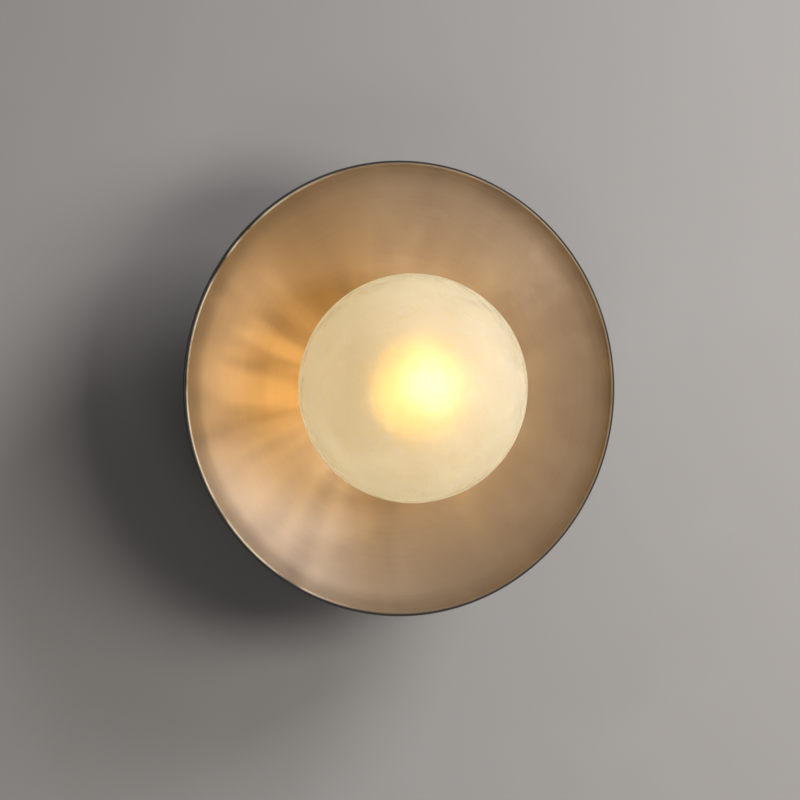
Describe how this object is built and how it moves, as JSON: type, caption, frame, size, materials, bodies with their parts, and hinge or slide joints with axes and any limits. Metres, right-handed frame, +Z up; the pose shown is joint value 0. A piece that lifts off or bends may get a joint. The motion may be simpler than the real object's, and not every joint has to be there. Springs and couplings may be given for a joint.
{
  "type": "wall sconce",
  "caption": "Round wall light: a frosted glass globe nested in a shallow spun brass dish with a black back, on a short stem from a round canopy.",
  "frame": {"origin": "on the wall, at the middle of the mounting plate, between its two wall slots", "axes": "+X to the right, +Z up, +Y into the wall; the dish and globe face -Y"},
  "size_m": [0.3, 0.1974, 0.3],
  "materials": {
    "zinc_steel": "zinc-plated steel, satin",
    "black_rubber": "matt black rubber",
    "white_plastic": "moulded plastic, satin",
    "plain_brass": "plain brass",
    "black_paint": "satin black powder coat",
    "earth_sleeving": "green and yellow wire insulation",
    "brown_insulation": "brown wire insulation",
    "blue_insulation": "blue wire insulation",
    "antique_brass": "spun antique brass, brushed round the axis",
    "clear_silicone": "translucent silicone",
    "white_ceramic": "glazed porcelain",
    "frosted_glass": "frosted glass with a faint ripple, lit from inside",
    "clear_glass": "clear glass",
    "nickel": "nickel-plated brass, satin",
    "black_glass": "black vitrified insulator",
    "filament": "lit filament coating, emissive"
  },
  "bodies": {
    "fitting": {"mounting_plate": "zinc_steel", "cable_grommet": "black_rubber", "earth_screw": "plain_brass", "earth_washers": "zinc_steel", "earth_eyelets": "nickel", "terminal_block": "white_plastic", "terminal_sleeves": "plain_brass", "terminal_screws": "zinc_steel", "block_screw": "zinc_steel", "canopy": "black_paint", "canopy_screws": "black_paint", "earth_wire": "earth_sleeving", "earth_lead": "earth_sleeving", "earth_tag": "nickel", "live_wire": "brown_insulation", "neutral_wire": "blue_insulation", "threaded_tube": "plain_brass", "back_nut": "plain_brass", "lock_washer": "zinc_steel", "stem": "black_paint", "backing_washer": "black_paint", "dish_shell": "black_paint", "dish_liner": "antique_brass", "gallery": "antique_brass", "globe_clips": "zinc_steel", "clip_rivets": "zinc_steel", "neck_gasket": "clear_silicone", "holder_bracket": "zinc_steel", "holder_screws": "zinc_steel", "lampholder_body": "white_ceramic", "lampholder_shell": "plain_brass", "centre_contact": "plain_brass", "holder_terminals": "plain_brass", "holder_terminal_screws": "zinc_steel"},
    "globe": {"globe_glass": "frosted_glass"},
    "bulb": {"bulb_glass": "clear_glass", "bulb_cap": "nickel", "bulb_insulator": "black_glass", "bulb_contact": "nickel", "filament_stem": "clear_glass", "filament_wires": "nickel", "led_filaments": "filament"}
  },
  "joints": [
    {"name": "globe_pull", "type": "slide", "parent": "fitting", "child": "globe", "axis": [0, -1, 0], "range_m": [0, 0.125]},
    {"name": "bulb_unscrew", "type": "slide", "parent": "fitting", "child": "bulb", "axis": [0, -1, 0], "range_m": [0, 0.024]}
  ]
}
